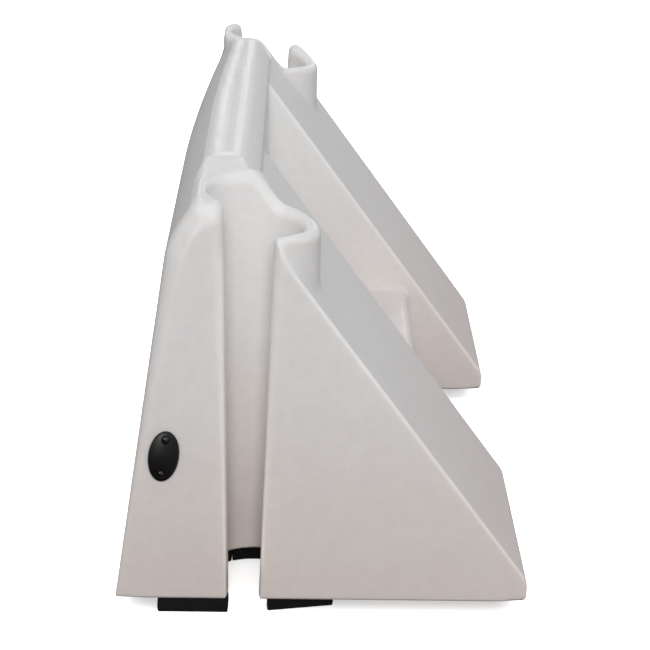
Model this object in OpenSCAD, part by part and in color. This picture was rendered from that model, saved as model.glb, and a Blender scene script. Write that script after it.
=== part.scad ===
// Water filled barrier, one modular unit.
// A hollow rotationally moulded body stands on foam seals. It has a leaning front wall, a rounded
// ridge, two buttress legs behind with a bay between them, and an upright keyhole joint at each end.
//
// Frame: +X across the unit, from the front wall to the rear toes. +Y along the unit. +Z up.
// Origin: middle of the unit, on the ground, at the underside of the foam seals.
// Most modules draw from the body's own corner instead: front edge, near end, moulded base.

/* [Unit] */
// Length of the unit along Y
unit_length = 1000; // [900:10:1500]
// Width of the moulded base, from the front edge to the rear toes
base_width = 500; // [420:10:640]
// Height of the ridge above the moulded base
ridge_height = 510; // [430:5:620]
// Thickness of the moulded wall
wall = 6; // [4:0.5:8]

/* [Front wall and ridge] */
// How far the front wall leans back at its shoulder
front_lean = 66; // [40:1:90]
// Height from the shoulder up to the ridge's top
shoulder_drop = 57; // [45:1:70]
// Width of the shoulder slope, from the front wall to the ridge
shoulder_width = 34; // [25:1:45]
// Width of the ridge
ridge_width = 70; // [60:1:90]
// Drop of the crown at the ridge's front edge
crown_front_drop = 10; // [6:1:14]
// Drop of the crown at the ridge's rear edge
crown_rear_drop = 30; // [20:1:40]

/* [Buttress legs and bay] */
// Length of each buttress along Y
buttress_length = 322; // [280:1:380]
// Drop from the ridge's top to the top of the buttress slope
slope_drop = 33; // [25:1:60]
// Height of the upright face of the toe
toe_height = 28; // [20:1:50]
// Height of the low tank between the buttresses
shelf_height = 160; // [120:5:220]
// Set-back of the low tank's outer face from the toes
shelf_setback = 119; // [80:1:150]

/* [Joint at each end] */
// Diameter of the upright joint cavity
cavity_d = 114; // [90:1:140]
// Thickness of the rim round the cavity
rim = 20; // [14:1:26]
// Set-back of the rim from the top of the front wall
rim_setback = 23; // [15:1:35]
// Set-back of the rim's outside from the end face
rim_inset = 3; // [2:1:10]
// Length of the lowered ridge behind the rim
ridge_step_length = 33; // [20:1:60]
// Drop from the ridge's top to the front part of the rim
rim_front_drop = 13; // [8:1:20]
// Drop from the ridge's top to the rear part of the rim
rim_rear_drop = 60; // [40:1:80]
// Width of the slot in the end face, at the base
slot_base_width = 40; // [30:1:50]
// Width of the slot in the end face, at the top
slot_top_width = 63; // [50:1:72]
// Offset of the slot from the cavity's axis towards the front, at the base
slot_base_offset = 11; // [0:0.5:14]
// Offset of the slot from the cavity's axis towards the front, at the top
slot_top_offset = 5.5; // [0:0.5:10]

/* [Foam seals under the base] */
// Thickness of the foam
seal_thickness = 20; // [12:1:30]
// Set-back of the front strip from the front edge
front_seal_inset = 51; // [30:1:60]
// Width of the rear strip
rear_seal_width = 81; // [60:1:110]
// Set-back of the rear strip's end from the end face, at its front corner
rear_seal_skew_min = 16; // [5:1:25]
// Set-back of the rear strip's end from the end face, at its rear corner
rear_seal_skew_max = 33; // [15:1:50]
// Gap between the cavity's wall and the foam's round cut
seal_cut_gap = 7; // [2:1:12]
// Length of the foam block behind each cavity
joint_seal_length = 60; // [40:1:100]

/* [Oval cover on the near end] */
// Width of the cover
cover_width = 36; // [30:1:44]
// Length of the cover
cover_length = 65; // [56:1:80]
// Height of the cover's middle above the moulded base
cover_height = 188; // [120:1:260]
// Gap between the cover and the front wall
cover_edge_gap = 15.5; // [10:0.5:20]
// Depth of the recess that the cover sits in
cover_recess = 4; // [2:0.5:5]
// Height of the cover's edge
cover_edge = 3; // [2:0.5:4]
// Height of the dome above the cover's edge
cover_dome = 4; // [3:0.5:6]
// Thickness of the gasket under the cover
cover_gasket_t = 1.5; // [1:0.5:2]
// Distance from the cover's middle to each screw
screw_offset = 22; // [18:0.5:24]
// Thread diameter of the cover screws
screw_d = 4; // [3:0.5:5]
// Diameter of the port behind the cover
port_d = 16; // [10:1:20]

/* [Filler in the bay] */
// Inner diameter of the filler insert
filler_bore = 50; // [40:1:60]
// Radial thickness of the filler insert
filler_insert_wall = 6; // [4:0.5:8]
// Length of the filler thread
filler_thread = 16; // [12:1:24]
// Diameter of the filler cap
filler_cap_d = 78; // [70:1:90]

/* [Drain in the bay] */
// Inner diameter of the drain insert
drain_bore = 20; // [16:1:26]
// Radial thickness of the drain insert
drain_insert_wall = 4; // [3:0.5:6]
// Length of the drain thread
drain_thread = 14; // [10:1:18]
// Height of the drain's axis above the moulded base
drain_height = 34; // [28:1:60]

/* [Fits] */
// Clearance round a threaded stem, per side
thread_clearance = 0.3; // [0.2:0.05:0.5]
// Clearance round the cover in its recess, per side
cover_clearance = 0.5; // [0.3:0.1:1]

/* [Hidden] */
$fn = 96;
past = 1;              // how far a cut runs past the face it opens
curve_steps = 10;      // straight pieces in each drawn curve

shoulder_z = ridge_height - shoulder_drop;
ridge_front_x = front_lean + shoulder_width;
ridge_rear_x = ridge_front_x + ridge_width;
ridge_front_z = ridge_height - crown_front_drop;
crown_at = 0.4;        // where the crown is highest, as a share of the ridge's width
slope_top_z = ridge_height - slope_drop;
shelf_x = base_width - shelf_setback;

cavity_r = cavity_d / 2;
rim_r = cavity_r + rim;
cavity_x = front_lean + rim_setback + rim_r;
cavity_y = rim_inset + rim_r;
end_zone = cavity_y + rim_r + ridge_step_length;
rim_front_z = ridge_height - rim_front_drop;
rim_rear_z = ridge_height - rim_rear_drop;
swoop_from = cavity_x - 0.28 * cavity_r;   // where the rim starts to fall
swoop_to = cavity_x + 0.51 * cavity_r;     // where the rim has reached its low part

slot_base_front = cavity_x - slot_base_offset - slot_base_width / 2;
slot_base_rear = slot_base_front + slot_base_width;
slot_top_front = cavity_x - slot_top_offset - slot_top_width / 2;
slot_top_rear = slot_top_front + slot_top_width;

seal_cut_r = cavity_r + seal_cut_gap;
front_seal_edge = slot_base_front + 2;
rear_seal_edge = slot_base_rear + 9;
rear_seal_far_edge = rear_seal_edge + rear_seal_width;

cover_tilt = atan(front_lean / shoulder_z);
cover_x = front_lean * cover_height / shoulder_z + cover_edge_gap + cover_width / 2;
cover_boss = wall + 10;                    // depth of the thick pad behind the cover
cover_boss_margin = 5;
insert_d = screw_d + 2.4;
insert_length = 8;
screw_head_d = screw_d * 2;
screw_head_h = 2.4;
screw_pocket_d = screw_head_d + 1.6;

filler_x = (ridge_rear_x + shelf_x) / 2;
filler_insert_r = filler_bore / 2 + filler_insert_wall;
filler_flange = 3;
filler_flange_r = filler_insert_r + 5;
filler_boss_depth = filler_thread + 6;
filler_gasket_t = 3;
filler_cap_h = 7;

drain_insert_r = drain_bore / 2 + drain_insert_wall;
drain_flange = 2;
drain_flange_r = drain_insert_r + 3;
drain_boss_depth = drain_thread + 6;
drain_seal_t = 2.5;
drain_head_h = 8;

// ---- places -------------------------------------------------------------------------------

// From the body's own corner to the part's frame
module at_corner() translate([-base_width / 2, -unit_length / 2, seal_thickness]) children();

// A copy at each end, mirrored about the middle of the unit
module both_ends() {
    for (far = [0, 1])
        translate([0, unit_length / 2, 0]) mirror([0, far, 0])
            translate([0, -unit_length / 2, 0]) children();
}

// The upright plane of a cross-section, drawn as x and z and drawn out along Y
module along_y(from, to) translate([0, to, 0]) rotate([90, 0, 0]) linear_extrude(to - from) children();

// The cover's own place: x across the cover, y along it, z out of the end face
module at_cover() translate([cover_x, 0, cover_height]) rotate([90, 0, 0]) rotate(-cover_tilt) children();

// The filler's own place, on top of the low tank, z up
module at_filler() translate([filler_x, unit_length / 2, shelf_height]) children();

// The drain's own place, on the low tank's outer face, z outwards
module at_drain() translate([shelf_x, unit_length / 2, drain_height]) rotate([0, 90, 0]) children();

// A ring lying on its own place
module ring(outer_r, inner_r, from, to) {
    difference() {
        translate([0, 0, from]) cylinder(r = outer_r, h = to - from);
        translate([0, 0, from - past]) cylinder(r = inner_r, h = to - from + 2 * past);
    }
}

// ---- cross-sections, as x and z -----------------------------------------------------------

// The shoulder bends over from the front wall to the ridge
shoulder_curve = [
    for (i = [0:curve_steps]) let (s = i / curve_steps)
        [front_lean + shoulder_width * s, shoulder_z + (ridge_front_z - shoulder_z) * (1 - pow(1 - s, 2))]
];

// The crown of the ridge, highest a little in front of its middle
crown_curve = [
    for (i = [1:curve_steps]) let (s = i / curve_steps, off = s - crown_at)
        [ridge_front_x + ridge_width * s,
         ridge_height - (off < 0 ? crown_front_drop * pow(off / crown_at, 2)
                                 : crown_rear_drop * pow(off / (1 - crown_at), 2))]
];

module wall_section() polygon(concat([[0, 0]], shoulder_curve, crown_curve, [[ridge_rear_x, 0]]));

module shelf_section() translate([front_lean, 0]) square([shelf_x - front_lean, shelf_height]);

module buttress_section()
    polygon([[front_lean, 0], [front_lean, shoulder_z - wall], [ridge_rear_x, slope_top_z],
             [base_width, toe_height], [base_width, 0]]);

// Everything under the rim: high in front, falling in a smooth curve to the low rear part
rim_curve = [
    for (i = [0:curve_steps]) let (s = i / curve_steps)
        [swoop_from + (swoop_to - swoop_from) * s,
         rim_rear_z + (rim_front_z - rim_rear_z) * (1 + cos(180 * s)) / 2]
];
module under_rim()
    polygon(concat([[-past, -past], [-past, rim_front_z]], rim_curve,
                   [[base_width + past, rim_rear_z], [base_width + past, -past]]));

module end_wall_section() {
    intersection() {
        wall_section();
        under_rim();
    }
}

// ---- moulded body -------------------------------------------------------------------------

module slot_section(margin = 0)
    polygon([[slot_base_front - margin, -past], [slot_top_front - margin, rim_front_z + past],
             [slot_top_rear + margin, rim_front_z + past], [slot_base_rear + margin, -past]]);

// The keyhole at one end, grown by a margin to leave its walls inside the tank
module keyhole(margin = 0) {
    translate([cavity_x, cavity_y, -past]) cylinder(r = cavity_r + margin, h = ridge_height + 2 * past);
    along_y(-past, cavity_y) slot_section(margin);
}

module rim_tower() {
    intersection() {
        translate([cavity_x, cavity_y, 0]) cylinder(r = rim_r, h = rim_front_z);
        along_y(0, end_zone) under_rim();
    }
}

module outer_shape() {
    along_y(end_zone, unit_length - end_zone) wall_section();
    along_y(buttress_length / 2, unit_length - buttress_length / 2) shelf_section();
    both_ends() {
        along_y(0, end_zone + past) end_wall_section();
        along_y(0, buttress_length) buttress_section();
        rim_tower();
    }
}

// The space that the water fills
module tank_space() {
    along_y(end_zone + wall, unit_length - end_zone - wall) offset(delta = -wall) wall_section();
    along_y(wall, unit_length - wall) offset(delta = -wall) {
        end_wall_section();
        shelf_section();
    }
    both_ends() along_y(wall, buttress_length - wall) offset(delta = -wall) {
        end_wall_section();
        shelf_section();
        buttress_section();
    }
}

// An oval of the cover's shape, grown by a margin
module oval(margin = 0) {
    polygon([for (a = [0:7.5:359])
        [(cover_width / 2 + margin) * cos(a), (cover_length / 2 + margin) * sin(a)]]);
}

module thick_places() {
    at_cover() translate([0, 0, -cover_boss]) linear_extrude(cover_boss) oval(cover_boss_margin);
    at_filler() translate([0, 0, -filler_boss_depth]) cylinder(r = filler_insert_r + wall, h = filler_boss_depth);
    at_drain() translate([0, 0, -drain_boss_depth]) cylinder(r = drain_insert_r + wall, h = drain_boss_depth);
}

module fitting_holes() {
    at_cover() {
        translate([0, 0, -cover_recess]) linear_extrude(cover_recess + past) oval(cover_clearance);
        translate([0, 0, -cover_boss - past]) cylinder(d = port_d, h = cover_boss + 2 * past);
        for (side = [-1, 1])
            translate([0, side * screw_offset, -cover_recess - insert_length]) cylinder(d = insert_d, h = insert_length + past);
    }
    at_filler() translate([0, 0, -filler_boss_depth - past])
        cylinder(r = filler_insert_r, h = filler_boss_depth + 2 * past);
    at_drain() translate([0, 0, -drain_boss_depth - past])
        cylinder(r = drain_insert_r, h = drain_boss_depth + 2 * past);
}

module barrier_body() color("gainsboro") at_corner() {
    difference() {
        outer_shape();
        difference() {
            tank_space();
            both_ends() keyhole(wall);
            thick_places();
        }
        both_ends() keyhole();
        fitting_holes();
    }
}

// ---- foam seals ---------------------------------------------------------------------------

module cavity_cuts() {
    both_ends() translate([cavity_x, cavity_y, -seal_thickness - past])
        cylinder(r = seal_cut_r, h = seal_thickness + 2 * past);
}

module seal_plate(points) {
    difference() {
        translate([0, 0, -seal_thickness]) linear_extrude(seal_thickness) polygon(points);
        cavity_cuts();
    }
}

module front_seal_strip() color("dimgray") at_corner()
    seal_plate([[front_seal_inset, 2], [front_seal_edge, 2],
                [front_seal_edge, unit_length - 2], [front_seal_inset, unit_length - 2]]);

module rear_seal_strip() color("dimgray") at_corner()
    seal_plate([[rear_seal_edge, rear_seal_skew_min], [rear_seal_far_edge, rear_seal_skew_max],
                [rear_seal_far_edge, unit_length - rear_seal_skew_max],
                [rear_seal_edge, unit_length - rear_seal_skew_min]]);

// The block that closes the gap between the strips behind one cavity
module joint_seal_block()
    seal_plate([[front_seal_edge, cavity_y], [rear_seal_edge, cavity_y],
                [rear_seal_edge, cavity_y + seal_cut_r + joint_seal_length],
                [front_seal_edge, cavity_y + seal_cut_r + joint_seal_length]]);

module near_joint_seal() color("dimgray") at_corner() joint_seal_block();

module far_joint_seal() color("dimgray") at_corner()
    translate([0, unit_length, 0]) mirror([0, 1, 0]) joint_seal_block();

// ---- oval cover ---------------------------------------------------------------------------

cover_base = cover_gasket_t - cover_recess;            // the cover's underside
cover_top = cover_base + cover_edge + cover_dome;
dome_r = (pow(cover_length / 2, 2) + pow(cover_dome, 2)) / (2 * cover_dome);
pocket_floor = cover_base + 1.6;                       // what is left of the cover under a screw head

module at_screws() for (side = [-1, 1]) translate([0, side * screw_offset, 0]) children();

module oval_cover() color("black") at_corner() at_cover() {
    difference() {
        intersection() {
            translate([0, 0, cover_base]) linear_extrude(cover_edge + cover_dome) oval();
            translate([0, 0, cover_top - dome_r]) sphere(r = dome_r);
        }
        at_screws() translate([0, 0, pocket_floor]) cylinder(d = screw_pocket_d, h = cover_top);
        at_screws() translate([0, 0, cover_base - past]) cylinder(d = screw_d + 0.4, h = cover_top);
    }
}

module cover_gasket() color("black") at_corner() at_cover() {
    difference() {
        translate([0, 0, -cover_recess]) linear_extrude(cover_gasket_t) oval(-1);
        translate([0, 0, -cover_recess - past]) cylinder(d = port_d, h = cover_gasket_t + 2 * past);
        at_screws() translate([0, 0, -cover_recess - past]) cylinder(d = screw_d + 0.4, h = cover_gasket_t + 2 * past);
    }
}

// Pan head screws with a cross recess, one solid each
module cover_screws() color("silver") at_corner() at_cover() at_screws() {
    shank = insert_length - 1 + cover_gasket_t + pocket_floor - cover_base;
    difference() {
        union() {
            translate([0, 0, pocket_floor]) cylinder(d = screw_head_d, h = screw_head_h);
            translate([0, 0, pocket_floor - shank]) cylinder(d = screw_d, h = shank + past);
        }
        for (turn = [0, 90]) rotate(turn)
            translate([-screw_head_d * 0.3, -0.5, pocket_floor + screw_head_h - 1.4])
                cube([screw_head_d * 0.6, 1, 2]);
    }
}

module cover_inserts() color("goldenrod") at_corner() at_cover() at_screws()
    ring(insert_d / 2, screw_d / 2, -cover_recess - insert_length, -cover_recess);

// ---- filler -------------------------------------------------------------------------------

module filler_insert() color("dimgray") at_corner() at_filler() {
    ring(filler_insert_r, filler_bore / 2, -filler_boss_depth, past);
    ring(filler_flange_r, filler_bore / 2, 0, filler_flange);
}

filler_stem_r = filler_bore / 2 - thread_clearance;
module filler_gasket() color("black") at_corner() at_filler()
    ring(filler_flange_r - 1, filler_stem_r + thread_clearance, filler_flange, filler_flange + filler_gasket_t);

module filler_cap() color("black") at_corner() at_filler() {
    seat = filler_flange + filler_gasket_t;
    grips = 12;
    difference() {
        union() {
            translate([0, 0, seat]) cylinder(d = filler_cap_d, h = filler_cap_h);
            translate([0, 0, seat - filler_thread - filler_gasket_t])
                cylinder(r = filler_stem_r, h = filler_thread + filler_gasket_t + past);
            translate([-filler_cap_d * 0.38, -5, seat]) cube([filler_cap_d * 0.76, 10, filler_cap_h + 14]);
        }
        for (i = [0:grips - 1]) rotate(360 * (i + 0.5) / grips)
            translate([filler_cap_d / 2 + 2.5, 0, seat - past]) cylinder(r = 5, h = filler_cap_h + 2 * past);
        translate([0, 0, seat - filler_thread - filler_gasket_t - past])
            cylinder(r = filler_stem_r - 4, h = filler_thread + filler_gasket_t);
    }
}

// ---- drain --------------------------------------------------------------------------------

module drain_insert() color("goldenrod") at_corner() at_drain() {
    ring(drain_insert_r, drain_bore / 2, -drain_boss_depth, past);
    ring(drain_flange_r, drain_bore / 2, 0, drain_flange);
}

drain_stem_r = drain_bore / 2 - thread_clearance;
module drain_seal() color("black") at_corner() at_drain()
    ring(drain_flange_r - 0.5, drain_stem_r + thread_clearance, drain_flange, drain_flange + drain_seal_t);

module drain_plug() color("black") at_corner() at_drain() {
    seat = drain_flange + drain_seal_t;
    union() {
        translate([0, 0, seat]) cylinder(r = drain_flange_r + 1.5, h = 3);
        translate([0, 0, seat]) cylinder(r = drain_flange_r - 1, h = drain_head_h + 3, $fn = 6);
        translate([0, 0, seat - drain_thread - drain_seal_t])
            cylinder(r = drain_stem_r, h = drain_thread + drain_seal_t + past);
    }
}

barrier_body();
front_seal_strip();
rear_seal_strip();
near_joint_seal();
far_joint_seal();
oval_cover();
cover_gasket();
cover_screws();
cover_inserts();
filler_insert();
filler_gasket();
filler_cap();
drain_insert();
drain_seal();
drain_plug();
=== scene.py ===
# %% [markdown]
# # A water filled barrier
#
# The unit is one hollow polyethylene moulding on black foam seals. It has a leaning front wall, a
# rounded ridge, two buttress legs behind, and an upright keyhole at each end for a joining key.
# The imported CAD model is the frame: every piece here takes its place from it, in metres, with +X
# across the unit, +Y along it and +Z up.

# %% The frame
import math

import bpy
import numpy as np
from mathutils import Matrix, Vector


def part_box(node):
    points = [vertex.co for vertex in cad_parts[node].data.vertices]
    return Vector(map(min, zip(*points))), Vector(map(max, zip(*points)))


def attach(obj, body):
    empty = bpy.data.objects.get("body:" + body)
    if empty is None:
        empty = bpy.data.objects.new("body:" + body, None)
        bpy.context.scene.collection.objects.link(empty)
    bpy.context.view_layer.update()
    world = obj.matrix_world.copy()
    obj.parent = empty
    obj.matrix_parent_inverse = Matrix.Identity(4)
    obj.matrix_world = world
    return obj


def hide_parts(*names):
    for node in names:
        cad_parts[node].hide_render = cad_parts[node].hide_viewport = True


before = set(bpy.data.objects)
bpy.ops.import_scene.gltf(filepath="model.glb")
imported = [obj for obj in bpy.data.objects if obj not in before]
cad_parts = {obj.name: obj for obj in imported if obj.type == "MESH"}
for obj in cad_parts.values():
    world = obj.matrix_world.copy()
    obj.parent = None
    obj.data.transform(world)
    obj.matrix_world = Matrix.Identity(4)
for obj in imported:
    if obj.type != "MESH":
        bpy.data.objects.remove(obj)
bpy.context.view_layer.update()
body_low, body_high = (np.array(corner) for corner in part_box("barrier_body"))

# %% [markdown]
# ## Sizes
#
# The moulding is drawn in millimetres from its own corner: the front edge of the base, at the end
# with the oval cover. Its boxes give the overall sizes. The others repeat the CAD model's, except
# that the tops of the rims and the step stand a few millimetres off it, where the mould is softer.

# %% Sizes of the moulding, in millimetres
MM = 0.001
# the front foam strip stops 2 mm short of each end, so its box gives the unit's length
corner = np.array([body_low[0], -0.5 * (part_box("front_seal_strip")[1][1] * 2 + 0.004), body_low[2]])
unit_length = -2 * corner[1] / MM
base_width = (body_high[0] - body_low[0]) / MM
ridge_height = (body_high[2] - body_low[2]) / MM
front_lean, shoulder_z = 66, 453
ridge_front_x, ridge_rear_x = 100, 170
slope_top_z, toe_height, buttress_length = 477, 28, 322
shelf_x, shelf_height = 381, 160
cavity_x, cavity_y, cavity_r, rim_r = 166, 80, 57, 77
end_zone, rim_front_z, rim_rear_z = 184, 497, 456
slot_front_x, slot_rear_x = 135, 175
# the front wall's top is drawn back by up to 25 mm, over the last 570 mm of its length
warp, warp_from, warp_reach = 25, 430, 570
print(f"moulding {base_width:.0f} x {unit_length:.0f} x {ridge_height:.0f} mm")

# %% [markdown]
# ## The camera
#
# A long lens far away keeps the upright edges nearly parallel. The camera looks along the unit, 20
# degrees down, and is turned a little. Its three axes are built from those angles and go straight
# into its matrix, which is surer than stacking rotations.

# %% The camera
pitch, yaw, roll = (math.radians(a) for a in (20.54, 0.85, 1.06))
looking = Vector((math.sin(yaw) * math.cos(pitch), math.cos(yaw) * math.cos(pitch),
                  -math.sin(pitch)))
level = Vector((math.cos(yaw), -math.sin(yaw), 0))
upwards = level.cross(looking)
across = math.cos(roll) * level + math.sin(roll) * upwards
upright = math.cos(roll) * upwards - math.sin(roll) * level

camera = bpy.data.objects.new("camera", bpy.data.cameras.new("camera"))
bpy.context.scene.collection.objects.link(camera)
camera.data.lens = 110.4
camera.data.sensor_width = 36
camera.matrix_world = Matrix.LocRotScale(
    Vector((-0.0333, -2.649, 1.182)),
    Matrix((across, upright, -looking)).transposed().to_quaternion(), None)
bpy.context.scene.camera = camera
bpy.context.scene.view_settings.view_transform = "Standard"
print("camera at", tuple(round(v, 3) for v in camera.location))

# %% [markdown]
# ## Building materials
#
# Colours are written as sRGB hex and turned to linear by one function. A second one adds a node,
# sets its options and inputs, and links the inputs that are given a socket.

# %% Two helpers for materials
def linear(code):
    """An sRGB hex colour as linear red, green, blue and alpha."""
    parts = [int(code[i:i + 2], 16) / 255 for i in (1, 3, 5)]
    return (*[c / 12.92 if c <= 0.04045 else ((c + 0.055) / 1.055) ** 2.4 for c in parts], 1.0)


def add(tree, kind, options=None, **inputs):
    """Adds a node. Options are its settings; inputs are sockets to link or values to set.

    An input goes by its name, or by its number after an i where names repeat.
    """
    made = tree.nodes.new(kind)
    for name, value in (options or {}).items():
        setattr(made, name, value)
    for name, value in inputs.items():
        numbered = name[0] == "i" and name[1:].isdigit()
        socket = made.inputs[int(name[1:]) if numbered else name.replace("_", " ")]
        if isinstance(value, bpy.types.NodeSocket):
            tree.links.new(value, socket)
        else:
            socket.default_value = value
    return made


def start_material(name):
    """A new material with its node tree, the shader and Object coordinates."""
    material = bpy.data.materials.new(name)
    material.use_nodes = True
    tree = material.node_tree
    shader = tree.nodes["Principled BSDF"]
    return material, tree, shader, add(tree, "ShaderNodeTexCoord").outputs["Object"]


# %% [markdown]
# ## Milky polyethylene
#
# Natural polyethylene is baked on to the inside of a turning mould. It is a milky plastic: light
# goes a few millimetres in and comes out softened, so edges glow a little. The skin copies the
# sandblasted mould, so it is satin, with a faint orange peel. Handling leaves specks and rubs.

# %% Polyethylene, rotationally moulded
polyethylene, tree, shader, place = start_material("rotomoulded polyethylene")
clouds = add(tree, "ShaderNodeTexNoise", Vector=place, Scale=5.0, Detail=3.0, Roughness=0.55)
mottle = add(tree, "ShaderNodeTexNoise", Vector=place, Scale=95.0, Detail=2.0, Roughness=0.5)
tone = add(tree, "ShaderNodeMix", {"data_type": "RGBA"}, i0=clouds.outputs["Fac"],
           i6=linear("#E4E2E0"), i7=linear("#EDEDEC"))
# the resin's uneven grain, a few millimetres across
grain = add(tree, "ShaderNodeMapRange", Value=mottle.outputs["Fac"], From_Min=0.35, From_Max=0.65,
            To_Min=0.985, To_Max=1.015)
toned = add(tree, "ShaderNodeVectorMath", {"operation": "SCALE"}, i0=tone.outputs[2],
            Scale=grain.outputs[0])
# painted shade: a warm, darker tint for the warm bounce and shade near the ground, strongest at the ground
# and gone at 450 mm
height = add(tree, "ShaderNodeSeparateXYZ", Vector=place)
low_shade_mask = add(tree, "ShaderNodeMapRange", {"interpolation_type": "SMOOTHSTEP"}, Value=height.outputs["Z"],
               From_Min=-0.08, From_Max=0.45, To_Min=1.0, To_Max=0.0)
low_shaded = add(tree, "ShaderNodeMix", {"data_type": "RGBA", "blend_type": "MULTIPLY"}, i0=low_shade_mask.outputs[0],
             i6=toned.outputs[0], i7=(0.89, 0.81, 0.775, 1.0))
# specks: one dark grain in each cell of about 35 mm, 1.6 mm across, and most cells have none
cells = add(tree, "ShaderNodeTexVoronoi", Vector=place, Scale=28.0, Randomness=1.0)
speck = add(tree, "ShaderNodeMapRange", Value=cells.outputs["Distance"], From_Min=0.018, From_Max=0.03,
            To_Min=0.55, To_Max=0.0)
some = add(tree, "ShaderNodeSeparateColor", Color=cells.outputs["Color"])
chosen = add(tree, "ShaderNodeMath", {"operation": "GREATER_THAN"}, i0=some.outputs["Red"], i1=0.62)
speck_mask = add(tree, "ShaderNodeMath", {"operation": "MULTIPLY"}, i0=speck.outputs[0],
                 i1=chosen.outputs[0])
specked = add(tree, "ShaderNodeMix", {"data_type": "RGBA"}, i0=speck_mask.outputs[0], i6=low_shaded.outputs[2],
              i7=linear("#8C857C"))
tree.links.new(specked.outputs[2], shader.inputs["Base Color"])
# rubs: long faint marks where units slid against each other, 3 mm wide and 60 mm long
slant = add(tree, "ShaderNodeMapping", Vector=place, Rotation=(0.4, 0.5, 0.2), Scale=(18.0, 60.0, 300.0))
rubs = add(tree, "ShaderNodeTexNoise", Vector=slant.outputs[0], Scale=1.0, Detail=2.0)
polish = add(tree, "ShaderNodeMapRange", Value=rubs.outputs["Fac"], From_Min=0.5, From_Max=0.72,
             To_Min=0.40, To_Max=0.52)
tree.links.new(polish.outputs[0], shader.inputs["Roughness"])
# the mould's blast grain is 0.3 mm, drawn at 1.5 mm so that it shows, with a slower orange peel
blast = add(tree, "ShaderNodeTexNoise", Vector=place, Scale=650.0, Detail=2.0)
peel = add(tree, "ShaderNodeTexNoise", Vector=place, Scale=70.0, Detail=1.0)
fine = add(tree, "ShaderNodeBump", Height=blast.outputs["Fac"], Strength=0.25, Distance=0.0002)
coarse = add(tree, "ShaderNodeBump", Height=peel.outputs["Fac"], Strength=0.3, Distance=0.0008,
             Normal=fine.outputs[0])
tree.links.new(coarse.outputs[0], shader.inputs["Normal"])
shader.inputs["IOR"].default_value = 1.51
shader.inputs["Subsurface Weight"].default_value = 0.6
shader.inputs["Subsurface Radius"].default_value = (1.0, 0.85, 0.75)
shader.inputs["Subsurface Scale"].default_value = 0.012
print(polyethylene.name, "made with", len(tree.nodes), "nodes")

# %% [markdown]
# ## Black closed-cell foam
#
# The seals are cut from sheet. A knife opens the cells, so the cut faces are matt black with pits
# under a millimetre wide, and they show no clear reflection.

# %% Closed-cell foam
foam, tree, shader, place = start_material("closed-cell foam")
# cells of 0.6 mm drawn at about 2 mm so that they show
pits = add(tree, "ShaderNodeTexVoronoi", Vector=place, Scale=480.0, Randomness=1.0)
drift = add(tree, "ShaderNodeTexNoise", Vector=place, Scale=30.0, Detail=3.0)
shade = add(tree, "ShaderNodeMix", {"data_type": "RGBA"}, i0=drift.outputs["Fac"], i6=linear("#0B0B0C"),
            i7=linear("#1A1A1B"))
# painted shade: the colour darkens towards each cell's centre, where the pits are, as shade in them
pit_shade = add(tree, "ShaderNodeMapRange", Value=pits.outputs["Distance"], From_Min=0.0, From_Max=0.6,
             To_Min=0.55, To_Max=1.1)
foam_colour = add(tree, "ShaderNodeVectorMath", {"operation": "SCALE"}, i0=shade.outputs[2],
                  Scale=pit_shade.outputs[0])
cells_bump = add(tree, "ShaderNodeBump", Height=pits.outputs["Distance"], Strength=0.6, Distance=0.0006)
tree.links.new(foam_colour.outputs[0], shader.inputs["Base Color"])
tree.links.new(cells_bump.outputs[0], shader.inputs["Normal"])
shader.inputs["Roughness"].default_value = 0.92
shader.inputs["Specular IOR Level"].default_value = 0.25
print(foam.name, "made")

# %% [markdown]
# ## Black moulded plastic, rubber, stainless steel and brass
#
# The oval cover, the filler and the plug are black polypropylene from a fine spark-eroded mould. The
# gasket rings are EPDM. The screws are stainless, and the inserts are turned brass with lathe rings.

# %% Spark-textured polypropylene
polypropylene, tree, shader, place = start_material("black polypropylene")
drift = add(tree, "ShaderNodeTexNoise", Vector=place, Scale=45.0, Detail=3.0)
shade = add(tree, "ShaderNodeMix", {"data_type": "RGBA"}, i0=drift.outputs["Fac"], i6=linear("#08080A"),
            i7=linear("#141416"))
# the spark texture is 0.1 mm, drawn at 0.6 mm
spark = add(tree, "ShaderNodeTexNoise", Vector=place, Scale=1600.0, Detail=2.0)
satin = add(tree, "ShaderNodeMapRange", Value=drift.outputs["Fac"], From_Min=0.3, From_Max=0.7, To_Min=0.28,
            To_Max=0.4)
spark_bump = add(tree, "ShaderNodeBump", Height=spark.outputs["Fac"], Strength=0.35, Distance=0.0001)
tree.links.new(shade.outputs[2], shader.inputs["Base Color"])
tree.links.new(satin.outputs[0], shader.inputs["Roughness"])
tree.links.new(spark_bump.outputs[0], shader.inputs["Normal"])
shader.inputs["IOR"].default_value = 1.49

# %% EPDM rubber
rubber, tree, shader, place = start_material("EPDM rubber")
bloom = add(tree, "ShaderNodeTexNoise", Vector=place, Scale=220.0, Detail=4.0)
shade = add(tree, "ShaderNodeMix", {"data_type": "RGBA"}, i0=bloom.outputs["Fac"], i6=linear("#131314"),
            i7=linear("#262627"))
rubber_bump = add(tree, "ShaderNodeBump", Height=bloom.outputs["Fac"], Strength=0.2, Distance=0.0002)
tree.links.new(shade.outputs[2], shader.inputs["Base Color"])
tree.links.new(rubber_bump.outputs[0], shader.inputs["Normal"])
shader.inputs["Roughness"].default_value = 0.72
shader.inputs["IOR"].default_value = 1.52

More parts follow.
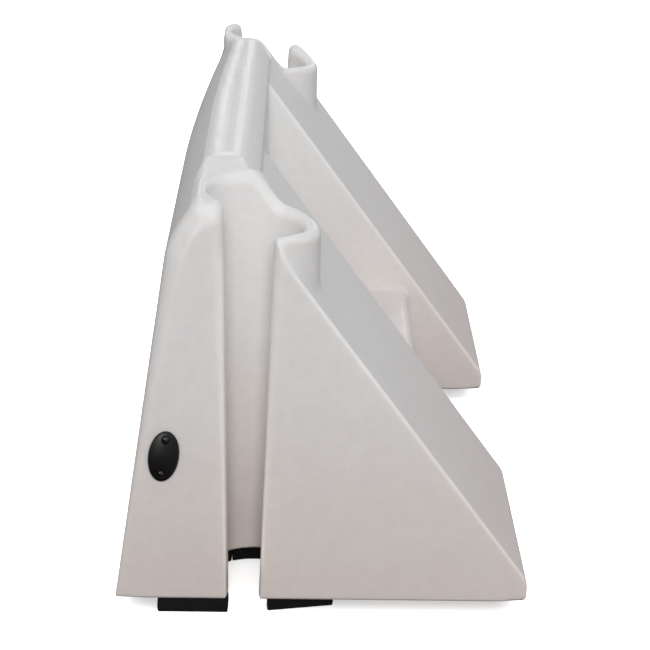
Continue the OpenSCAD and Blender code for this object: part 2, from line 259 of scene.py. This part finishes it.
# %% Stainless steel
stainless, tree, shader, place = start_material("stainless steel")
stain = add(tree, "ShaderNodeTexNoise", Vector=place, Scale=600.0, Detail=3.0)
shade = add(tree, "ShaderNodeMix", {"data_type": "RGBA"}, i0=stain.outputs["Fac"], i6=linear("#4C4D4F"),
            i7=linear("#7E7F82"))
dull = add(tree, "ShaderNodeMapRange", Value=stain.outputs["Fac"], From_Min=0.3, From_Max=0.7, To_Min=0.22,
           To_Max=0.4)
tree.links.new(shade.outputs[2], shader.inputs["Base Color"])
tree.links.new(dull.outputs[0], shader.inputs["Roughness"])
shader.inputs["Metallic"].default_value = 1.0

# %% Turned brass
brass, tree, shader, place = start_material("turned brass")
tarnish = add(tree, "ShaderNodeTexNoise", Vector=place, Scale=160.0, Detail=4.0)
shade = add(tree, "ShaderNodeMix", {"data_type": "RGBA"}, i0=tarnish.outputs["Fac"], i6=linear("#9C7A3C"),
            i7=linear("#C9A55C"))
dull = add(tree, "ShaderNodeMapRange", Value=tarnish.outputs["Fac"], From_Min=0.3, From_Max=0.7,
           To_Min=0.25, To_Max=0.45)
tree.links.new(shade.outputs[2], shader.inputs["Base Color"])
tree.links.new(dull.outputs[0], shader.inputs["Roughness"])
shader.inputs["Metallic"].default_value = 1.0
print("small materials made")

# %% [markdown]
# ## A skin over a rule
#
# A mould has no sharp edges: every edge is a radius and every inner corner a fillet, and the radii
# change along the part. Bevels fail where they meet. So the moulding is written as a rule instead,
# a function that gives each place its distance from the surface, below zero inside. Two shapes are
# joined with a fillet or cut with a radius by a line of arithmetic. A net is then laid where the
# rule is zero: one point in each grid cell that the surface crosses, and a square between four.

# %% Cuts, joins and outlines
def cut(a, b, radius):
    """What is inside both, with the edge between them rounded."""
    near_edge = np.hypot(np.maximum(a + radius, 0), np.maximum(b + radius, 0))
    return np.minimum(-radius, np.maximum(a, b)) + near_edge


def join(a, b, fillet):
    """What is inside either, with a fillet in the corner between them."""
    near_corner = np.hypot(np.maximum(fillet - a, 0), np.maximum(fillet - b, 0))
    return np.maximum(fillet, np.minimum(a, b)) - near_corner


def ease(value, start, end):
    """Goes smoothly from 0 at start to 1 at end."""
    t = np.clip((value - start) / (end - start), 0, 1)
    return t * t * (3 - 2 * t)


def outline_distance(u, v, points):
    """Distance from places (u, v) to a closed outline, below zero inside it."""
    nearest, odd = np.inf, False
    for (au, av), (bu, bv) in zip(points, points[1:] + points[:1]):
        eu, ev = bu - au, bv - av
        along = np.clip(((u - au) * eu + (v - av) * ev) / (eu * eu + ev * ev), 0, 1)
        nearest = np.minimum(nearest, np.hypot(u - au - eu * along, v - av - ev * along))
        if ev:
            odd = odd ^ (((av > v) != (bv > v)) & (u < au + (v - av) * eu / ev))
    return np.where(odd, -nearest, nearest)


# %% Laying the net
def rule_slope(rule, points, reach):
    """The rule's value at each point, and the way it grows fastest there."""
    grow = np.empty_like(points)
    for axis in range(3):
        shift = np.zeros(3)
        shift[axis] = reach
        grow[:, axis] = rule(*(points + shift).T) - rule(*(points - shift).T)
    return rule(*points.T), grow / (2 * reach)


def settle(rule, points, step, rounds=3):
    """Moves points on to the surface, a short way at a time."""
    for _ in range(rounds):
        value, grow = rule_slope(rule, points, 0.02 * step)
        move = value / np.maximum((grow ** 2).sum(1), 0.04)
        points = points - np.clip(move, -0.4 * step, 0.4 * step)[:, None] * grow
    return points


def lay_net(rule, low, high, step):
    """Points and squares over the surface of a rule, inside a box."""
    lines = [np.arange(lo - 1.6 * step, hi + 2.6 * step, step) for lo, hi in zip(low, high)]
    field = rule(lines[0][:, None, None], lines[1][None, :, None], lines[2][None, None, :])
    field = np.broadcast_to(field, [len(line) for line in lines]).astype(np.float32)
    inside = field < 0
    cells = [slice(0, -1), slice(1, None)]
    full = sum(inside[a, b, c].astype(np.int8) for a in cells for b in cells for c in cells)
    crossed = (full > 0) & (full < 8)
    cell = np.argwhere(crossed)
    number = np.full(crossed.shape, -1)
    number[crossed] = np.arange(len(cell))
    total, hits = np.zeros((len(cell), 3)), np.zeros(len(cell))
    for axis in range(3):
        for u, v in ((0, 0), (0, 1), (1, 0), (1, 1)):
            start = np.zeros(3, int)
            start[(axis + 1) % 3], start[(axis + 2) % 3] = u, v
            end = start + (np.arange(3) == axis)
            a, b = field[tuple((cell + start).T)], field[tuple((cell + end).T)]
            hit = (a < 0) != (b < 0)
            share = np.divide(a, a - b, out=np.zeros_like(a), where=hit)
            total += (cell + start + share[:, None] * (np.arange(3) == axis)) * hit[:, None]
            hits += hit
    points = total / hits[:, None] * step + [line[0] for line in lines]
    squares = []
    for axis in range(3):
        unit = np.eye(3, dtype=int)
        one, two = unit[(axis + 1) % 3], unit[(axis + 2) % 3]
        span = [slice(1, -1)] * 3
        span[axis] = slice(0, -1)
        beyond = list(span)
        beyond[axis] = slice(1, None)
        a, b = inside[tuple(span)], inside[tuple(beyond)]
        offset = np.array([s.start for s in span])
        for flip, wanted in ((False, a & ~b), (True, b & ~a)):
            at = np.argwhere(wanted) + offset
            ring = [number[tuple((at - s).T)] for s in (0 * one, one, one + two, two)]
            squares.append(np.stack(ring[::-1] if flip else ring, 1))
    return points, np.concatenate(squares)


def even_out(rule, points, squares, step, rounds):
    """Spreads the points evenly over the surface, so that rounded edges come out straight."""
    ends = np.concatenate([squares, np.roll(squares, 1, 1)]).ravel()
    others = np.concatenate([np.roll(squares, 1, 1), squares]).ravel()
    meets = np.bincount(ends, minlength=len(points))[:, None]
    for _ in range(rounds):
        middle = np.stack([np.bincount(ends, points[others, axis], len(points)) for axis in range(3)], 1)
        middle = middle / meets
        points = settle(rule, points + 0.5 * (middle - points), step, 2)
    return points


# %% From a net to a finished piece
def simplified(piece, share):
    """Collapses the net where it is flat, and keeps the points where it curves."""
    thinner = piece.modifiers.new("thinner", "DECIMATE")
    thinner.ratio = share
    thinner.use_collapse_triangulate = True
    made = bpy.data.meshes.new_from_object(piece.evaluated_get(bpy.context.evaluated_depsgraph_get()))
    piece.modifiers.clear()
    piece.data = made


def shade_by_rule(piece, rule, step, turn=np.eye(3), at=corner):
    """Gives each face's corners the rule's own normal, or the face's where it was cut by a tool."""
    mesh = piece.data
    count = len(mesh.vertices)
    where = np.empty(count * 3)
    mesh.vertices.foreach_get("co", where)
    _, grow = rule_slope(rule, (where.reshape(-1, 3) - at) @ turn / MM, 0.05 * step)
    grow = grow @ turn.T / np.maximum(np.linalg.norm(grow, axis=1), 1e-6)[:, None]
    mesh.polygons.foreach_set("use_smooth", np.ones(len(mesh.polygons), bool))
    facing = np.empty(len(mesh.polygons) * 3)
    mesh.polygons.foreach_get("normal", facing)
    sizes = np.empty(len(mesh.polygons), int)
    mesh.polygons.foreach_get("loop_total", sizes)
    owner = np.empty(len(mesh.loops), int)
    mesh.loops.foreach_get("vertex_index", owner)
    flat = np.repeat(facing.reshape(-1, 3), sizes, axis=0)
    smooth = grow[owner]
    mesh.normals_split_custom_set(np.where((flat * smooth).sum(1)[:, None] > 0.75, smooth, flat))


def new_piece(name, points, faces, material):
    """A mesh object from points in metres."""
    mesh = bpy.data.meshes.new(name)
    mesh.from_pydata(points, [], faces)
    mesh.update()
    piece = bpy.data.objects.new(name, mesh)
    bpy.context.scene.collection.objects.link(piece)
    mesh.materials.append(material)
    return piece


def skin(name, rule, low, high, step, share, material, rounds=3, turn=np.eye(3), at=corner):
    """A finished piece over a rule, its net thinned to a share of its faces, then turned and placed."""
    points, squares = lay_net(rule, low, high, step)
    points = even_out(rule, settle(rule, points, step), squares, step, rounds)
    piece = new_piece(name, points * MM @ turn.T + at, squares, material)
    simplified(piece, share)
    mesh = piece.data
    where = np.empty(len(mesh.vertices) * 3)
    mesh.vertices.foreach_get("co", where)
    where = settle(rule, (where.reshape(-1, 3) - at) @ turn / MM, step, 2) * MM @ turn.T + at
    mesh.vertices.foreach_set("co", where.ravel())
    mesh.update()
    print(f"{name}: {len(squares)} squares laid, {len(mesh.polygons)} triangles kept")
    return piece


# %% [markdown]
# ## The moulding
#
# The front wall leans back and bends over a shoulder into the ridge. At each end the ridge drops in
# a short step, and its top falls in an S to the low rear of a round rim. The rim stands round the
# keyhole, and the buttress wedge runs down from it to a low toe. All radii are real mould radii: 4
# to 5 mm on the wedge, 8 mm on the rims, and up to 26 mm where the front lip turns over.

# %% The outline of the wall and the ridge
shares = np.linspace(0, 1, 15)
# the shoulder leaves the wall 23 mm lower than its bend, follows it, and meets the ridge at a crisp edge
leaves, bend, meets = (62.6, shoulder_z - 23), (66.5, shoulder_z + 4), (ridge_front_x, 500)
shoulder = [tuple((1 - s) ** 2 * a + 2 * s * (1 - s) * b + s * s * c
                  for a, b, c in zip(leaves, bend, meets)) for s in shares]
# the crown is highest at 0.4 of its width, and falls 10 mm to its front and 30 mm to its rear
crown = [(ridge_front_x + 70 * s, ridge_height - (10 * ((s - 0.4) / 0.4) ** 2 if s < 0.4
                                                  else 30 * ((s - 0.4) / 0.6) ** 2)) for s in shares[1:]]
wall_outline = [(-front_lean / shoulder_z * 60, -60)] + shoulder + crown + [(ridge_rear_x, -60)]
print("wall outline has", len(wall_outline), "points")


# %% The rule of the moulding
def rim_fall(x, y, far):
    """How far along its fall the rim is, 0 in front and 1 behind; later behind the near keyhole."""
    return np.clip((x - 146 - 9 * ease(y, 40, 100) * (1 - far)) / 52, 0, 1)


def rim_height(x, y, far):
    """How high the end's top surface is: high in front, low behind, and a little higher at the lips."""
    low = rim_rear_z - 6 * ease(x, 205, 240) + 15 * far * (1 - ease(y, 0, 70))
    high = rim_front_z + 5 * far + 8 * ease(y, 135, end_zone)
    return low + (high - low) * (1 + np.cos(np.pi * rim_fall(x, y, far))) / 2


def solid_rule(x, y, z, far):
    """The moulding before its keyholes, without its ends and base. y counts from the nearer end."""
    along = np.where(far, unit_length - y, y)
    share = np.clip((along - warp_from) / warp_reach, 0, 1)
    drawn_back = warp * share ** 1.6 * np.clip(z / shoulder_z, 0, 1)
    wall = outline_distance(x - drawn_back * (1 - ease(x, 105, 165)), z, wall_outline)
    # in front the tower stops at the shoulder, so that the rim's side runs straight
    tower = cut(np.hypot(x - cavity_x, y - cavity_y) - rim_r, ridge_front_x - 3 - x, 4)
    wall = join(wall, tower, 3 + 35 * ease(x, 156, 176))
    # the step down to the end, with the S-curve of the rim
    steep = 1.24 * np.sin(np.pi * rim_fall(x, y, far))
    over_rim = (z - rim_height(x, y, far)) / np.sqrt(1 + steep ** 2)
    step_down = join(end_zone - y, over_rim, 2.5)
    wall = cut(wall, step_down, 8 - 4.5 * ease(y, 155, 175))
    # the wedge: its slope, its toe, its underside where it leaves the front wall, and its inner face
    fall, run = slope_top_z - toe_height, base_width - ridge_rear_x
    slope = ((x - ridge_rear_x) * fall + (z - slope_top_z) * run) / math.hypot(fall, run)
    under = ((z - 447) * 104 - (x - front_lean) * 30) / math.hypot(104, 30)
    wedge = np.maximum(cut(slope, x - base_width, 5), np.maximum(under, ridge_front_x - x))
    wedge = cut(wedge, y - buttress_length, 5)
    wedge = np.maximum(wedge, np.minimum(over_rim + 5, 150 - y))
    shelf = np.maximum(cut(x - shelf_x, z - shelf_height, 12), ridge_front_x - x)
    return join(join(wall, wedge, 3 + 15 * (1 - ease(y, 8, 60))), shelf, 9)


def moulding_rule(x, y, z):
    """The whole moulding, in millimetres from its corner."""
    far = y > unit_length / 2
    y = np.minimum(y, unit_length - y)
    solid = solid_rule(x, y, z, far)
    # the end's outer edge: 4.5 mm behind the slot, and in front of it a radius that grows upwards
    behind = ease(x, 140, 175)
    solid = cut(solid, -y, 3 + 1.5 * behind + 23 * (1 - behind) * np.clip(z / 450, 0, 1) ** 1.4)
    # the slot widens upwards and narrows inwards, and the far one is flared
    flare = 9 * far * np.clip(z / rim_front_z, 0, 1) ** 2
    front = slot_front_x - 6 * z / rim_front_z + 0.09 * y - flare
    rear = slot_rear_x + 17 * z / rim_front_z - 0.07 * y + flare
    slot = np.maximum(np.maximum(front - x, x - rear), y - cavity_y)
    keyhole = join(np.hypot(x - cavity_x, y - cavity_y) - cavity_r, slot, 10)
    # the keyhole's lip grows upwards, to 15 mm at the slot and behind the bore, 11 mm round the bore,
    # and half of that beside the shoulder
    lip = 3 + 12 * np.clip(z / 470, 0, 1) ** 2
    lip = lip + (np.minimum(lip, 11) - lip) * ease(y, 15, 45) + 4 * ease(y, 105, 135) * ease(z, 400, 440)
    lip = lip * (1 - 0.5 * (1 - ease(x, 108, 128)) * ease(y, 30, 50))
    # the base's edge: 4 mm in front, 2.2 mm along the ends and 7 mm at the toe
    base_edge = 2.2 + 1.8 * (1 - ease(x, 8, 40)) + 4.8 * ease(x, 465, 492)
    return cut(cut(solid, -keyhole, lip), -z, base_edge)


# %% The moulding's skin
body_step, body_share = ((3.2, 0.34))
barrier_skin = skin("barrier_skin", moulding_rule, (0, 0, 0), (base_width, unit_length, ridge_height),
                    body_step, body_share, polyethylene)

# %% [markdown]
# ## Holes for the fittings
#
# The oval cover sits in a shallow recess, the filler goes into the low tank's top, and the drain
# into its outer face. On the real part they are moulded in with inserts. Here one cutter is made of
# three prisms and taken away with an exact Boolean, which leaves their edges sharp.

# %% Cutters
def prism(outline, low, high, at, turn):
    """Points and faces of an upright prism, turned and put in its place."""
    count = len(outline)
    points = [turn @ Vector((u, v, w)) + at for w in (low, high) for u, v in outline]
    sides = [(i, (i + 1) % count, count + (i + 1) % count, count + i) for i in range(count)]
    return points, sides + [tuple(range(count))[::-1], tuple(range(count, 2 * count))]


def oval(across_mm, along_mm, count=96):
    """An oval outline in metres."""
    return [(across_mm / 2 * MM * math.cos(a), along_mm / 2 * MM * math.sin(a))
            for a in np.linspace(0, 2 * math.pi, count, endpoint=False)]


cover_tilt = math.atan(front_lean / shoulder_z)
cover_low, cover_high = (Vector(c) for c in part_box("oval_cover"))
cover_at = Vector(((cover_low.x + cover_high.x) / 2, corner[1], (cover_low.z + cover_high.z) / 2))
cover_turn = Matrix.Rotation(math.pi / 2, 3, "X") @ Matrix.Rotation(-cover_tilt, 3, "Z")
filler_low, filler_high = (Vector(c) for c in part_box("filler_insert"))
filler_at = Vector(((filler_low.x + filler_high.x) / 2, 0, corner[2] + shelf_height * MM))
drain_low, drain_high = (Vector(c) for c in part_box("drain_insert"))
drain_at = Vector((corner[0] + shelf_x * MM, 0, (drain_low.z + drain_high.z) / 2))
drain_turn = Matrix.Rotation(math.pi / 2, 3, "Y")

# each hole has an outline, reaches in and out in metres, and a place
points, faces = [], []
for outline, low, high, at, turn in (
        (oval(37, 66), -0.004, 0.01, cover_at, cover_turn),
        (oval(62.4, 62.4), -0.021, 0.02, filler_at, Matrix.Identity(3)),
        (oval(28.4, 28.4), -0.019, 0.02, drain_at, drain_turn)):
    more_points, more_faces = prism(outline, low, high, at, turn)
    faces += [tuple(i + len(points) for i in face) for face in more_faces]
    points += more_points
cutter = new_piece("cutter", points, faces, polyethylene)
trim = barrier_skin.modifiers.new("trim", "BOOLEAN")
trim.object, trim.operation, trim.solver = cutter, "DIFFERENCE", "EXACT"
trimmed = bpy.data.meshes.new_from_object(barrier_skin.evaluated_get(bpy.context.evaluated_depsgraph_get()))
barrier_skin.modifiers.clear()
barrier_skin.data = trimmed
bpy.data.objects.remove(cutter)
shade_by_rule(barrier_skin, moulding_rule, body_step)
print("moulding trimmed:", len(trimmed.polygons), "faces")

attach(barrier_skin, "unit")
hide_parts("barrier_body")

# %% [markdown]
# ## The foam seals
#
# Two strips and two blocks of foam are glued under the base. They are cut from sheet with a knife,
# so their edges are crisp but soft to the touch, and the sides bulge a little under the load. The
# same net makes them: a cut outline, a round cut at each keyhole, and a bulge at mid-height.

# %% Foam outlines
strip_outline = [(51, 2), (137, 2), (137, unit_length - 2), (51, unit_length - 2)]
rear_outline = [(184, 7), (265, 23), (265, unit_length - 23), (184, unit_length - 7)]
block_outline = [(137, 80), (184, 80), (184, 204), (137, 204)]


def foam_rule(outline):
    """The rule of a foam piece under the base, 20 mm thick."""
    def rule(x, y, z):
        belly = 0.8 * (1 - ((z + 10) / 10) ** 2)
        edge = outline_distance(x, y, outline) - belly + 0.8
        hole = np.hypot(x - cavity_x, np.minimum(np.abs(y - cavity_y), np.abs(y - unit_length + cavity_y)))
        return cut(cut(edge, 64 - hole - belly + 0.8, 1.2), np.abs(z + 10) - 10, 1.4)
    return rule


# %% Foam pieces
foam_step = 1.6
far_outline = [(x, unit_length - y) for x, y in block_outline]
for name, outline, node in (("front_foam", strip_outline, "front_seal_strip"),
                            ("rear_foam", rear_outline, "rear_seal_strip"),
                            ("near_foam_block", block_outline, "near_joint_seal"),
                            ("far_foam_block", far_outline, "far_joint_seal")):
    rule = foam_rule(outline)
    low = [min(p[0] for p in outline), min(p[1] for p in outline), -20]
    high = [max(p[0] for p in outline), max(p[1] for p in outline), 0]
    piece = skin(name, rule, low, high, foam_step, 0.4, foam, rounds=1)
    shade_by_rule(piece, rule, foam_step)
    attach(piece, "unit")
    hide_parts(node)

# %% [markdown]
# ## The oval cover
#
# The cover is injection moulded: a low dome with a rolled edge, a flat underside that sits on its
# gasket, and two round pockets that keep the screw heads below the surface. The rule is an oval
# distance cut by a dome, and the pockets are cut with half a millimetre of radius.

# %% Oval cover
def cover_rule(u, v, w):
    """The cover in its own place: u across, v along, w out of the end face."""
    out = np.maximum(np.hypot(u / 18, v / 32.5), 1e-3)
    edge = out * (out - 1) / np.maximum(np.hypot(u / 18 ** 2, v / 32.5 ** 2), 1e-4)
    dome = 0.9 * (w - 0.6 - 3.9 * (1 - out * out))
    shell = cut(cut(edge, dome, 1.6), -2.5 - w, 0.4)
    reach = np.hypot(u, np.abs(v) - 22)
    return cut(cut(shell, np.minimum(4.8 - reach, w + 0.9), 0.5), 2.2 - reach, 0.3)


cover_step = 0.5
cover_place = {"turn": np.array(cover_turn), "at": np.array(cover_at)}
domed_cover = skin("domed_cover", cover_rule, (-18, -32.5, -2.5), (18, 32.5, 4.5), cover_step, 0.6,
                   polypropylene, rounds=1, **cover_place)
shade_by_rule(domed_cover, cover_rule, cover_step, **cover_place)
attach(domed_cover, "unit")
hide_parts("oval_cover")

# %% [markdown]
# ## The cover's screws
#
# Pan head machine screws, M4, with a cross recess. One screw is turned from a profile, as on a
# lathe, and its cross is cut with an exact Boolean. A Geometry Nodes tree sets a row of them.

# %% One screw
shank_end = -(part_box("cover_screws")[1][1] - corner[1]) / MM
profile = [(1.6, 1.46), (2.8, 1.2), (3.55, 0.7), (3.95, 0.0), (4.0, -0.7), (3.8, -0.9), (2.0, -0.9),
           (2.0, shank_end + 0.7), (1.4, shank_end)]
turns = np.linspace(0, 2 * np.pi, 32, endpoint=False)
points = [(r * math.cos(a), r * math.sin(a), w) for r, w in profile for a in turns]
points += [(0, 0, 1.5), (0, 0, shank_end)]
rings, count = len(profile), len(turns)
faces = [(i * count + j, (i + 1) * count + j, (i + 1) * count + (j + 1) % count,
          i * count + (j + 1) % count) for i in range(rings - 1) for j in range(count)]
faces += [(rings * count, j, (j + 1) % count) for j in range(count)]
last_ring = (rings - 1) * count
faces += [(rings * count + 1, last_ring + (j + 1) % count, last_ring + j) for j in range(count)]
screw = new_piece("screw", [tuple(c * MM for c in p) for p in points], faces, stainless)
# the cross, from one of its corners round to the next
plus = [(0.5, 0.5), (0.5, 2.4), (-0.5, 2.4), (-0.5, 0.5), (-2.4, 0.5), (-2.4, -0.5),
        (-0.5, -0.5), (-0.5, -2.4), (0.5, -2.4), (0.5, -0.5), (2.4, -0.5), (2.4, 0.5)]
points, faces = prism([(u * MM, v * MM) for u, v in plus], 0.0001, 0.003, Vector((0, 0, 0)),
                      Matrix.Identity(3))
driver = new_piece("driver", points, faces, stainless)
recess = screw.modifiers.new("recess", "BOOLEAN")
recess.object, recess.operation, recess.solver = driver, "DIFFERENCE", "EXACT"
screw_mesh = bpy.data.meshes.new_from_object(screw.evaluated_get(bpy.context.evaluated_depsgraph_get()))
screw.modifiers.clear()
screw.data = screw_mesh
bpy.data.objects.remove(driver)
print("screw:", len(screw_mesh.polygons), "faces")

# %% A row of screws
row = bpy.data.node_groups.new("screw row", "GeometryNodeTree")
ports = {}
for name, kind in (("Geometry", "NodeSocketGeometry"), ("Screw", "NodeSocketObject"),
                   ("Count", "NodeSocketInt"), ("Spacing", "NodeSocketFloat"),
                   ("Finish", "NodeSocketMaterial")):
    ports[name] = row.interface.new_socket(name, in_out="INPUT", socket_type=kind).identifier
row.interface.new_socket("Geometry", in_out="OUTPUT", socket_type="NodeSocketGeometry")
given = add(row, "NodeGroupInput")
gaps = add(row, "ShaderNodeMath", {"operation": "SUBTRACT"}, i0=given.outputs["Count"], i1=1.0)
span = add(row, "ShaderNodeMath", {"operation": "MULTIPLY"}, i0=gaps.outputs[0],
           i1=given.outputs["Spacing"])
half = add(row, "ShaderNodeMath", {"operation": "MULTIPLY"}, i0=span.outputs[0], i1=-0.5)
first_place = add(row, "ShaderNodeCombineXYZ", Y=half.outputs[0])
pitch_step = add(row, "ShaderNodeCombineXYZ", Y=given.outputs["Spacing"])
line = add(row, "GeometryNodeMeshLine", {"mode": "OFFSET"}, Count=given.outputs["Count"],
           Start_Location=first_place.outputs[0], Offset=pitch_step.outputs[0])
shape = add(row, "GeometryNodeObjectInfo", {"transform_space": "ORIGINAL"}, Object=given.outputs["Screw"])
placed = add(row, "GeometryNodeInstanceOnPoints", Points=line.outputs["Mesh"],
             Instance=shape.outputs["Geometry"])
solid = add(row, "GeometryNodeRealizeInstances", Geometry=placed.outputs["Instances"])
finished = add(row, "GeometryNodeSetMaterial", Geometry=solid.outputs["Geometry"],
               Material=given.outputs["Finish"])
add(row, "NodeGroupOutput", Geometry=finished.outputs["Geometry"])

screws = new_piece("pan_head_screws", [(0, 0, 0)], [], stainless)
setter = screws.modifiers.new("row", "NODES")
setter.node_group = row
for name, value in (("Screw", screw), ("Count", 2), ("Spacing", 0.044), ("Finish", stainless)):
    setter[ports[name]] = value
made = bpy.data.meshes.new_from_object(screws.evaluated_get(bpy.context.evaluated_depsgraph_get()))
screws.modifiers.clear()
made.transform(Matrix.Translation(cover_at) @ cover_turn.to_4x4())
screws.data = made
bpy.data.objects.remove(screw)
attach(screws, "unit")
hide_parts("cover_screws")
print("screws:", len(made.polygons), "faces")

# %% [markdown]
# ## CAD nodes that keep their shape
#
# The fittings are machined or moulded to plain sizes, and the CAD solids already have them. They
# keep their mesh and get their real material. A moulded or turned edge is never quite sharp, so a
# small bevel breaks each one, and it catches a line of light.

# %% Materials for the carried-over nodes
broken_edge = 0.4 * MM
carried_over = {"cover_gasket": rubber, "cover_inserts": brass, "filler_insert": polypropylene,
                "filler_gasket": rubber, "filler_cap": polypropylene, "drain_insert": brass,
                "drain_seal": rubber, "drain_plug": polypropylene}
for node, material in carried_over.items():
    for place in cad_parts[node].material_slots:
        place.material = material
    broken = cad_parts[node].modifiers.new("broken edges", "BEVEL")
    broken.width, broken.segments, broken.limit_method = broken_edge, 2, "ANGLE"
    broken.angle_limit = math.radians(50)
print("carried over:", len(carried_over), "nodes")

# %% [markdown]
# ## The studio
#
# White plastic on white paper needs two exposures: the paper has to be white, and the plastic has to
# show its shapes. So the paper has a lamp of its own, by light linking, and bounces no light back.
# The unit stands in a soft sky that is brightest overhead and a little brighter on the right.

# %% Paper floor
paper, tree, shader, place = start_material("paper floor")
fibre = add(tree, "ShaderNodeTexNoise", Vector=place, Scale=3.0, Detail=2.0)
paper_tone = add(tree, "ShaderNodeMix", {"data_type": "RGBA"}, i0=fibre.outputs["Fac"],
                 i6=linear("#F2F2F2"), i7=linear("#F7F7F7"))
tree.links.new(paper_tone.outputs[2], shader.inputs["Base Color"])
shader.inputs["Roughness"].default_value = 0.9
shader.inputs["Specular IOR Level"].default_value = 0.0
floor = new_piece("floor", [(-12, -8, 0), (12, -8, 0), (12, 16, 0), (-12, 16, 0)], [(0, 1, 2, 3)], paper)
floor.visible_diffuse = floor.visible_glossy = floor.visible_shadow = False

# %% Sky
# Light from a direction is a sum: a level for all round, a slope across and a slope upwards.
world = bpy.data.worlds.new("studio")
bpy.context.scene.world = world
world.use_nodes = True
tree = world.node_tree
sky = tree.nodes["Background"]
ways = add(tree, "ShaderNodeSeparateXYZ", Vector=add(tree, "ShaderNodeTexCoord").outputs["Generated"])
level_all_round = (0.315, 0.31, 0.312)
slope_across = (0.15, 0.155, 0.16)
slope_upwards = (0.40, 0.415, 0.44)
across_part = add(tree, "ShaderNodeVectorMath", {"operation": "SCALE"}, i0=slope_across,
                  Scale=ways.outputs["X"])
up_part = add(tree, "ShaderNodeVectorMath", {"operation": "SCALE"}, i0=slope_upwards,
              Scale=ways.outputs["Z"])
sideways = add(tree, "ShaderNodeVectorMath", {"operation": "ADD"}, i0=across_part.outputs[0],
               i1=level_all_round)
all_ways = add(tree, "ShaderNodeVectorMath", {"operation": "ADD"}, i0=sideways.outputs[0],
               i1=up_part.outputs[0])
tree.links.new(all_ways.outputs[0], sky.inputs["Color"])
sky.inputs["Strength"].default_value = 1.0

# %% Lamps
def soft_lamp(name, at, towards, size, power, colour="#FFFFFF"):
    """A rectangular soft lamp that points at a place."""
    data = bpy.data.lights.new(name, "AREA")
    data.shape, data.size, data.size_y = "RECTANGLE", *size
    data.energy, data.color = power, linear(colour)[:3]
    lamp = bpy.data.objects.new(name, data)
    bpy.context.scene.collection.objects.link(lamp)
    lamp.matrix_world = Matrix.LocRotScale(
        Vector(at), (Vector(towards) - Vector(at)).to_track_quat("-Z", "Y"), None)
    lamp.visible_camera = False
    return lamp


def soft_sun(name, direction, width, strength):
    """A sun as wide as an angle in degrees, shining along a direction."""
    sun = bpy.data.objects.new(name, bpy.data.lights.new(name, "SUN"))
    sun.data.energy, sun.data.angle = strength, math.radians(width)
    sun.rotation_euler = Vector(direction).to_track_quat("-Z", "Y").to_euler()
    bpy.context.scene.collection.objects.link(sun)
    return sun


# two strips far behind, one on each side of the unit
for side_way, name in ((-1, "back_strip_left"), (1, "back_strip_right")):
    soft_lamp(name, (-0.12 + 0.95 * side_way, 5.0, 1.9), (-0.12, 0.0, 0.5), (0.35, 1.6), 10)
# one card is only for the gloss of the cover's dome, and lights nothing else
soft_lamp("cover_glint", (-1.25, -3.3, 0.62), (-0.18, -0.5, 0.2), (0.5, 0.5), 22).visible_diffuse = False
# the walls let light through into the joint cavities; a faint card in each slot stands for it
slot_x, card = corner[0] + 157 * MM, (0.036, 0.40)
for end_y, inwards in ((corner[1] - 0.004, 1), (-corner[1] + 0.004, -1)):
    soft_lamp("slot_card", (slot_x, end_y, 0.26), (slot_x, end_y + inwards, 0.26), card, 0.026)
# a weak sun from the left keeps the front wall from going dull when it is seen from its own side
soft_sun("side_fill", (1, 0, -0.15), 40, 0.32)
# a card over the camera fades towards the far end
front_card = soft_lamp("front_card", camera.location + 0.35 * upright, (-0.1, 0.0, 0.3), (0.5, 0.5), 10)
# the front fill comes from the camera's side, so that its shadows hide behind what casts them
front_fill = soft_sun("front_fill", (-0.026, 0.925, -0.375), 12, 0.98)
front_card.visible_glossy = front_fill.visible_glossy = False

# %% The paper's own lamp
paper_lamp = soft_sun("paper_lamp", (0, 0, -1), 120, 7.0)
only_paper = bpy.data.collections.new("only paper")
only_paper.objects.link(floor)
paper_lamp.light_linking.receiver_collection = only_paper
paper_lamp.data.use_shadow = False
print("studio ready")
